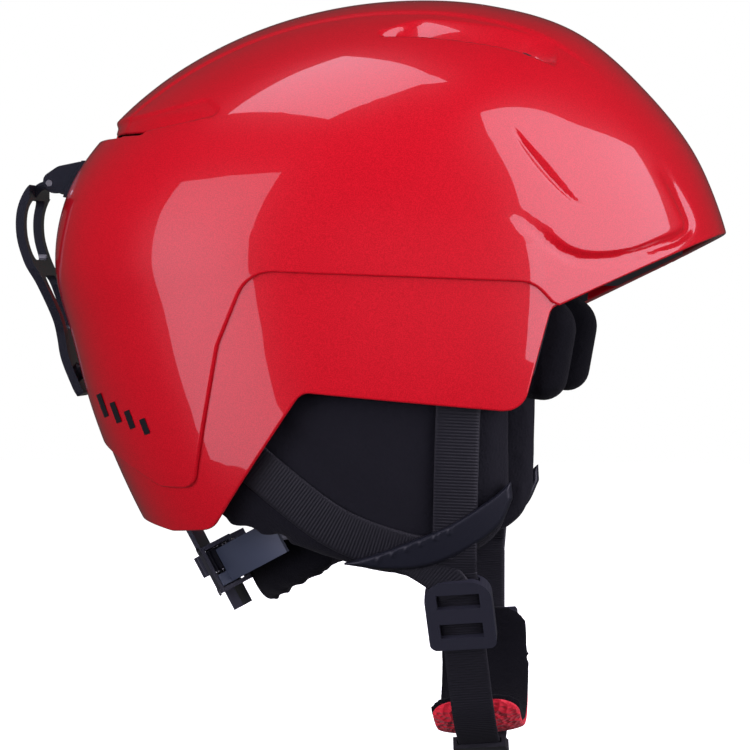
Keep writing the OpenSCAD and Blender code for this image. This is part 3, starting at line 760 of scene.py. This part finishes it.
def distances(path):
    """How far along an open path each of its points is."""
    return np.concatenate([[0], np.cumsum(np.linalg.norm(np.diff(path, axis=0), axis=1))])


def ribbed_faces(u, thick):
    """For both faces: where the points lie across the width, -1 to 1, and their height at u."""
    rib = RIB_HEIGHT * np.sin(2 * PI * u / RIB_PITCH)
    for face in (1, -1):
        row = WEB_ACROSS if face > 0 else WEB_ACROSS[::-1]
        edge = np.sqrt(np.clip(1 - np.abs(row) ** EDGE_POWER, 0, 1))
        yield row, face * edge[None, :] * (thick / 2 + rib[:, None])


def dome_strip(name, path, depth, side):
    """Ribbed webbing that lies on the dome along a side-view path."""
    path = np.asarray(path, float)
    start = distances(path)
    u = np.linspace(0, start[-1], int(start[-1] / RIB_STEP))
    c = np.stack([np.interp(u, start, path[:, 0]), np.interp(u, start, path[:, 1])], 1)
    g = np.gradient(c, axis=0)
    g /= np.linalg.norm(g, axis=1)[:, None]
    left = np.stack([-g[:, 1], g[:, 0]], 1)
    rings = []
    for row, off in ribbed_faces(u, WEB_THICK):
        flat = c[:, None, :] + left[:, None, :] * (row * WEB_WIDTH / 2)[None, :, None]
        x, z = flat[..., 0].ravel(), flat[..., 1].ravel()
        y = dome_y(x, z, depth + WEB_THICK / 2) + off.ravel()
        rings.append(np.stack([x, side * y, z], 1).reshape(len(u), len(row), 3))
    return tube(name, np.concatenate(rings, axis=1))


def tube(name, rings):
    """A mesh with closed ends from rings of points, each ring a closed outline."""
    n, m = rings.shape[:2]
    idx = np.arange(n * m).reshape(n, m)
    a, b = idx[:-1], idx[1:]
    a2, b2 = np.roll(a, -1, 1), np.roll(b, -1, 1)
    faces = np.stack([a.ravel(), b.ravel(), b2.ravel(), a2.ravel()], 1).tolist()
    faces.append(list(map(int, idx[0])))
    faces.append(list(map(int, idx[-1][::-1])))
    o = mesh_object(name, rings.reshape(-1, 3), faces)
    bm = bmesh.new()
    bm.from_mesh(o.data)
    bmesh.ops.recalc_face_normals(bm, faces=bm.faces)
    bm.to_mesh(o.data)
    bm.free()
    return o


FRONT_PATH = [[51.5, -45], [48.5, -109]]
REAR_PATH = spline([[-28, -70.5], [-20, -77.6], [0, -93.5], [14, -101], [30, -106.3], [37, -107.6]])
for side, tag in SIDES:
    w = dome_strip("front_webbing_" + tag, FRONT_PATH, 6.9, side)
    piece(w, WEB, "helmet", "webbing", "front_strap_" + tag)
    w = dome_strip("rear_webbing_" + tag, REAR_PATH, 8.6, side)
    piece(w, WEB, "helmet", "webbing", "rear_strap_" + tag)


def framed(place, tilt):
    """The map from a local frame, tilted about Y by some degrees, to the helmet's."""
    a = math.radians(tilt)
    turn = np.array([[math.cos(a), 0, math.sin(a)], [0, 1, 0], [-math.sin(a), 0, math.cos(a)]])
    return lambda p: np.asarray(p, float) @ turn.T + np.array(place)


# The frames of the chin strap's loop and of the nape, and the loop's two straight runs
in_loop = framed([48.5, 0, -113], -4)
in_nape = framed([0.7, 0, -84.5], -28)
X_DIR = in_loop([[1, 0, 0]])[0] - in_loop([[0, 0, 0]])[0]
RUN = math.radians(-59.49)
RUN_TOP = -67
RUN_LENGTH = 58


def run_point(t, x=0.0, out=0.0):
    """A point t down the right run of the loop, x forward of its middle and out from it."""
    return [x, RUN_TOP + t * math.cos(RUN) - out * math.sin(RUN),
            t * math.sin(RUN) + out * math.cos(RUN)]


def strip(name, points, sides, width=WEB_WIDTH, thick=WEB_THICK):
    """Ribbed webbing swept along points, with its width along the given side directions."""
    p = np.asarray(points, float)
    q = np.asarray(sides, float)
    start = distances(p)
    u = np.linspace(0, start[-1], max(8, int(start[-1] / RIB_STEP)))
    c = np.stack([np.interp(u, start, p[:, k]) for k in range(3)], 1)
    w = np.stack([np.interp(u, start, q[:, k]) for k in range(3)], 1)
    g = np.gradient(c, axis=0)
    even = np.ones(SMOOTH_OVER) / SMOOTH_OVER
    g = np.stack([np.convolve(np.pad(g[:, i], SMOOTH_OVER // 2, "edge"), even, "valid")
                  for i in range(3)], 1)
    g /= np.linalg.norm(g, axis=1)[:, None]
    w -= (w * g).sum(1)[:, None] * g
    w /= np.linalg.norm(w, axis=1)[:, None]
    up = np.cross(g, w)
    rings = [c[:, None, :] + w[:, None, :] * (row * width / 2)[None, :, None]
             + up[:, None, :] * off[..., None] for row, off in ribbed_faces(u, thick)]
    return tube(name, np.concatenate(rings, axis=1))


def arc_points(centre, r, a0, a1, n=60):
    a = np.radians(np.linspace(a0, a1, n))
    return [[0, centre[0] + r * math.cos(t), centre[1] + r * math.sin(t)] for t in a]


LOOP_CENTRE = (0.0, -29.0)
LOOP_RADIUS = 43
path = [run_point(t) for t in np.linspace(1, RUN_LENGTH, 20)]
path += arc_points(LOOP_CENTRE, LOOP_RADIUS, 210.6, 336.6)
chin = strip("chin_webbing", in_loop(path), [X_DIR] * len(path))
piece(chin, WEB, "right_strap", "webbing", "chin_strap_right")

# The two straps of the Y come together under the trim and go on into the slider. On the right
# they blend from the helmet to the chin strap, on the left they end in the short strap.
JOIN_THICK = 1.3
FRONT_WIDTH, REAR_WIDTH, LEFT_WIDTH = 15.6, 13.5, 15.8
REAR_ACROSS = Vector((0.45, 0, 0.89))


def join_path(foot, rest):
    return spline(np.vstack([foot, in_loop(rest)]), 10)


def turning(path):
    """Side directions that turn from the rear strap's to the chin strap's along a path."""
    n = len(path)
    return [REAR_ACROSS.lerp(Vector(X_DIR), min(1, k / (n * 0.75))) for k in range(n)]


def front_foot(side):
    return at_side([49.2, 48.8], [-99.0, -108.0], side, 7.6)


def rear_foot(side):
    return at_side([24.0, 34.0], [-104.0, -108.6], side, 9.2)


def blended_join(name, path, sides, width, bottom):
    o = strip(name, path, sides, width, JOIN_THICK)
    o.data.materials.append(WEB)
    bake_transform(o)


foot = front_foot(RIGHT)
path = join_path(foot, [run_point(1.5, 0, 0.2), run_point(5, 0, 0.8), run_point(9, 0, 0.9)])
blended_join("strap_join_front", path, [X_DIR] * len(path), FRONT_WIDTH,
             in_loop([run_point(5)])[0])
foot = rear_foot(RIGHT)
path = join_path(foot, [run_point(1.0, -5.5, -1.2), run_point(6, -1.5, -1.6),
                        run_point(10, -0.5, -1.7)])
blended_join("strap_join_rear", path, turning(path), REAR_WIDTH,
             in_loop([run_point(6)])[0])

path = join_path(front_foot(LEFT), [[0, 66.0, -1.5], [0, 62.5, -5.2]])
join = strip("strap_join_left", path, [X_DIR] * len(path), LEFT_WIDTH, JOIN_THICK)
piece(join, WEB, "helmet", "webbing")
path = join_path(rear_foot(LEFT), [[-5.5, 67.6, -0.8], [-1.5, 63.6, -6.5]])
join = strip("strap_tail_left", path, turning(path), REAR_WIDTH, JOIN_THICK)
piece(join, WEB, "helmet", "webbing")

short = [[0, 46.8 + 19.2 * t, -22.5 + 21.0 * t] for t in np.linspace(0, 1, 12)]
left = strip("left_webbing", in_loop(short), [X_DIR] * len(short))
piece(left, WEB, "helmet", "webbing", "chin_strap_left")


# ---- Chin pad and neck pad ----

def arc_pad(name, to_row, centre, radii, angles, half, plane, bow=0.0, grid=(90, 28), power=3.0,
            end=9.0):
    """A stuffed band on an arc, between two radii and two angles in degrees.

    plane puts a place across the band and a place in the arc's plane into the local frame. bow
    bends the band's edges inwards, power squares its section, and end is how long its ends taper.
    """
    n, m = grid
    mid, t = (radii[0] + radii[1]) / 2, (radii[1] - radii[0]) / 2
    length = math.radians(angles[1] - angles[0]) * mid
    rings = []
    for i in range(n):
        u = 0.5 - 0.5 * math.cos(PI * i / (n - 1))
        a = math.radians(angles[0] + (angles[1] - angles[0]) * u)
        to_end = min(u, 1 - u) * length
        e = math.sqrt(max(0.0, 1 - (1 - min(1, to_end / end)) ** 2))
        ring = []
        for j in range(m):
            b = 2 * PI * j / m
            c, s = math.cos(b), math.sin(b)
            x = half * (0.35 + 0.65 * e) * math.copysign(abs(c) ** (2 / power), c)
            y = t * max(e, 0.03) * math.copysign(abs(s) ** (2 / 2.4), s)
            r = mid + y - bow * (x / half) ** 2
            ring.append(plane(x, centre[0] + r * math.cos(a), centre[1] + r * math.sin(a)))
        rings.append(ring)
    return tube(name, to_row(np.array(rings).reshape(-1, 3)).reshape(n, m, 3))


NAPE_DOWN = 17.2  # from the nape frame's origin down to the middle of its pad


def loop_plane(x, p, q):
    return [x, p, q]


def nape_plane(x, p, q):
    return [p, q, x - NAPE_DOWN]


pad = arc_pad("chin_cushion", in_loop, LOOP_CENTRE, (31.2, 36.0), (218, 374), 17.6, loop_plane, 1.2)
inflate(pad, 1.6, 0.4, 1.0)
soft(pad, FLEECE, "helmet", "fleece", "chin_pad")
cover = arc_pad("chin_mesh_cover", in_loop, LOOP_CENTRE, (34.6, 38.0), (218.5, 350), 16.6,
                loop_plane, 0.9)
soft(cover, MESH, "helmet", "mesh", "chin_pad_mesh")
neck = arc_pad("neck_cushion", in_nape, (0.0, 0.0), (41.2, 49.3), (180 - 78, 180 + 78), 9.8,
               nape_plane, 0.0, (120, 30), 2.5, 12.0)
inflate(neck, 4.0, 0.8)
soft(neck, FLEECE, "nape", "fleece", "neck_pad")


# ---- Inside padding ----

# Outlines, seen from the side except for the crown's, which is seen from above
BROW = rounded([[34, 36], [120, 36], [120, -2], [62, -6, 6], [34, 4, 4]])
TEMPLE = rounded([[58.5, -12, 4], [95.5, -12, 12], [88.5, -51, 9], [62, -47.5, 5], [58.5, -43, 3]])
CROWN = rounded([[-38, -26, 12], [38, -20, 12], [38, 20, 12], [-38, 26, 12]])
SIDE = rounded([[-34, -30, 10], [26, -30, 10], [30, 18, 12], [-38, 22, 12]])
OCCIPUT = rounded([[-50, -44, 6], [-120, -44], [-120, 26], [-50, 26, 6]])
OCCIPUT_HALF = 40
PAD_TOP, PAD_THIN, PAD_THICK = 0.3, 5.0, 6.2  # depths under the cavity's surface
TEMPLE_OUT, TEMPLE_IN = 79, 64


def channels(at, places, depth, width):
    """Sewn channels at some places along one axis."""
    return sum(depth * np.exp(-((at - place) / width) ** 2) for place in places)


def brow_channels(v):
    return channels(np.abs(v[:, 1]), (22, 50), 1.6, 1.6)


def temple_channels(x, z):
    return channels(x, (68, 78), 1.3, 1.5)


def brow_cut(v):
    return sdf(v[:, [0, 2]], BROW)


def crown_cut(v):
    return np.where(v[:, 2] > 0, sdf(v[:, :2], CROWN), 99)


def occiput_cut(v):
    return np.maximum(sdf(v[:, [0, 2]], OCCIPUT), np.abs(v[:, 1]) - OCCIPUT_HALF)


def level(y):
    return lambda x, z: y + 0 * x


def cavity_y(depth):
    return lambda x, z: dome_y(x, z, depth, CAVITY, CAV_W)


brow = dome_pad("brow_cushion", brow_cut, PAD_TOP, PAD_THICK, CAVITY, CAV_W, 3.0, (-12, 62, 1.2),
                (-72, 72.1, 1.5), brow_channels)
soft(brow, FLEECE, "helmet", "fleece", "brow_pad")
temples = [pillow("temple_%d" % k, TEMPLE, level(TEMPLE_OUT), level(TEMPLE_IN), 6, side, 1.5,
                  temple_channels) for k, side in enumerate((RIGHT, LEFT))]
for temple in temples:
    soft(temple, FLEECE, "helmet", "fleece", "temple_pads")
crown = dome_pad("crown_cushion", crown_cut, PAD_TOP, PAD_THIN, CAVITY, CAV_W, 2.5, (50, 126, 1.5),
                 (-30, 30.1, 1.5))
soft(crown, FLEECE, "helmet", "fleece", "crown_pad")
for side, tag in SIDES:
    o = pillow("side_cushion_" + tag, SIDE, cavity_y(PAD_TOP), cavity_y(PAD_THIN), 2.5, side, 1.8)
    soft(o, FLEECE, "helmet", "fleece", "side_pads")
occiput = dome_pad("occiput_cushion", occiput_cut, PAD_TOP, PAD_THIN, CAVITY, CAV_W, 2.5,
                   (150, 222, 1.5), (-34, 34.1, 1.5))
soft(occiput, FLEECE, "helmet", "fleece", "occiput_pad")


# ---- Hard pieces: the CAD's own solids, with rounded edges ----

LARGE_EDGE = 0.35  # a rounding at least this large takes three segments
for name, mat, edge in (
        ("rear_badge", BADGE, 0.12), ("eps_liner", FOAM, 0), ("strap_anchors", PLASTIC, 0.4),
        ("ear_pad_studs", PLASTIC, 0.3), ("clip_bracket", GLOSS, 0.35), ("clip_pin", STEEL, 0.2),
        ("goggle_clip", GLOSS, 0.7), ("snap_stud", PLASTIC, 0.2), ("strap_slider", PLASTIC, 0.7),
        ("strap_keeper", WEB, 0.4), ("buckle_tongue", PLASTIC, 0.15),
        ("buckle_housing", PLASTIC, 0.6), ("lever_pin", STEEL, 0.15), ("lever_spring", STEEL, 0),
        ("release_lever", LEVER, 0.35), ("nape_yoke", PLASTIC, 0.4), ("yoke_cover", PLASTIC, 0.4),
        ("cover_screws", STEEL, 0.1), ("wheel_axle", STEEL, 0.2), ("fit_wheel", PLASTIC, 0.2),
        ("drive_pinion", STEEL, 0), ("fit_belt_left", BELT, 0.15), ("fit_belt_right", BELT, 0.15)):
    finish_node(name, mat, edge, 3 if edge >= LARGE_EDGE else 2)


# ---- Camera, floor and light ----

scene = bpy.context.scene
CAMERA_TARGET = Vector((0.0115, 0, -0.0424))
CAMERA_AZIMUTH, CAMERA_ELEVATION = math.radians(6.3), math.radians(1.2)
CAMERA_DISTANCE = 1.5
FLOOR_HALF = 4000
FLOOR_DROP = 0.06  # metres, so that the strap clears the floor as it swings
LIGHT_COLOUR = (1.0, 0.93, 1.14)
WHITE = (1, 1, 1, 1)

cam_data = bpy.data.cameras.new("camera")
cam_data.lens = 187
cam_data.sensor_width = 36
cam = bpy.data.objects.new("camera", cam_data)
scene.collection.objects.link(cam)
cam.location = CAMERA_TARGET + CAMERA_DISTANCE * Vector((
    math.sin(CAMERA_AZIMUTH) * math.cos(CAMERA_ELEVATION),
    -math.cos(CAMERA_AZIMUTH) * math.cos(CAMERA_ELEVATION), math.sin(CAMERA_ELEVATION)))
cam.rotation_euler = (CAMERA_TARGET - cam.location).to_track_quat("-Z", "Y").to_euler()
scene.camera = cam

floor_z = (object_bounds()[0][2] - FLOOR_DROP) * 1000 - 3
corners = ((-1, -1), (1, -1), (1, 1), (-1, 1))
floor = mesh_object("floor", [(FLOOR_HALF * x, FLOOR_HALF * y, floor_z) for x, y in corners],
                    [(0, 1, 2, 3)])
floor_white = material("floor_white", (0.92, 0.92, 0.92), rough=0.9, spec=0.1)
floor_shader = floor_white.node_tree.nodes["Principled BSDF"]
floor_shader.inputs["Emission Color"].default_value = WHITE
floor_shader.inputs["Emission Strength"].default_value = 1.0
floor.data.materials.append(floor_white)
floor.visible_glossy = False
floor.visible_diffuse = False

# The background is white to the camera, and dim as a light
WORLD_LIGHT = 0.05
world = bpy.data.worlds.new("studio")
scene.world = world
world.use_nodes = True
wt = world.node_tree
back = wt.nodes["Background"]
back.inputs["Strength"].default_value = WORLD_LIGHT
back.inputs["Color"].default_value = WHITE
white = wt.nodes.new("ShaderNodeBackground")
white.inputs["Strength"].default_value = 1.0
white.inputs["Color"].default_value = WHITE
rays = wt.nodes.new("ShaderNodeLightPath")
mix = wt.nodes.new("ShaderNodeMixShader")
wt.links.new(rays.outputs["Is Camera Ray"], mix.inputs["Fac"])
wt.links.new(back.outputs["Background"], mix.inputs[1])
wt.links.new(white.outputs["Background"], mix.inputs[2])
wt.links.new(mix.outputs["Shader"], wt.nodes["World Output"].inputs["Surface"])
scene.view_settings.view_transform = "Standard"


def softbox(name, at, aim, width, height, power, roll=0.0):
    """A rectangular light of so many watts, aimed at a point and rolled about its own axis."""
    d = bpy.data.lights.new(name, "AREA")
    d.shape = "RECTANGLE"
    d.size, d.size_y, d.energy = width, height, power
    d.color = LIGHT_COLOUR
    o = bpy.data.objects.new(name, d)
    scene.collection.objects.link(o)
    o.location = at
    o.rotation_euler = (Vector(aim) - Vector(at)).to_track_quat("-Z", "Y").to_euler()
    o.rotation_euler.rotate_axis("Z", roll)
    return o


# Three boxes that show in the paint, and three fills that don't
softbox("front_box", (1.27, -0.56, 0.38), (0.06, 0, 0.02), 1.55, 1.95, 30, -0.22)
softbox("top_box", (-0.34, -0.26, 1.5), (-0.02, 0, 0.05), 0.95, 0.8, 7.5)
softbox("rear_box", (-0.96, -1.02, 0.03), (-0.05, 0, 0), 0.98, 1.9, 11)
for name, at, power in (("fill_right", (0.5, -2.2, 0.0), 15), ("fill_rear", (-1.6, -1.3, 0.1), 19),
                        ("fill_behind", (-0.7, 1.9, 0.7), 16)):
    fill = softbox(name, at, (0.05, 0, 0), 1.4, 1.0, power)
    fill.visible_glossy = False
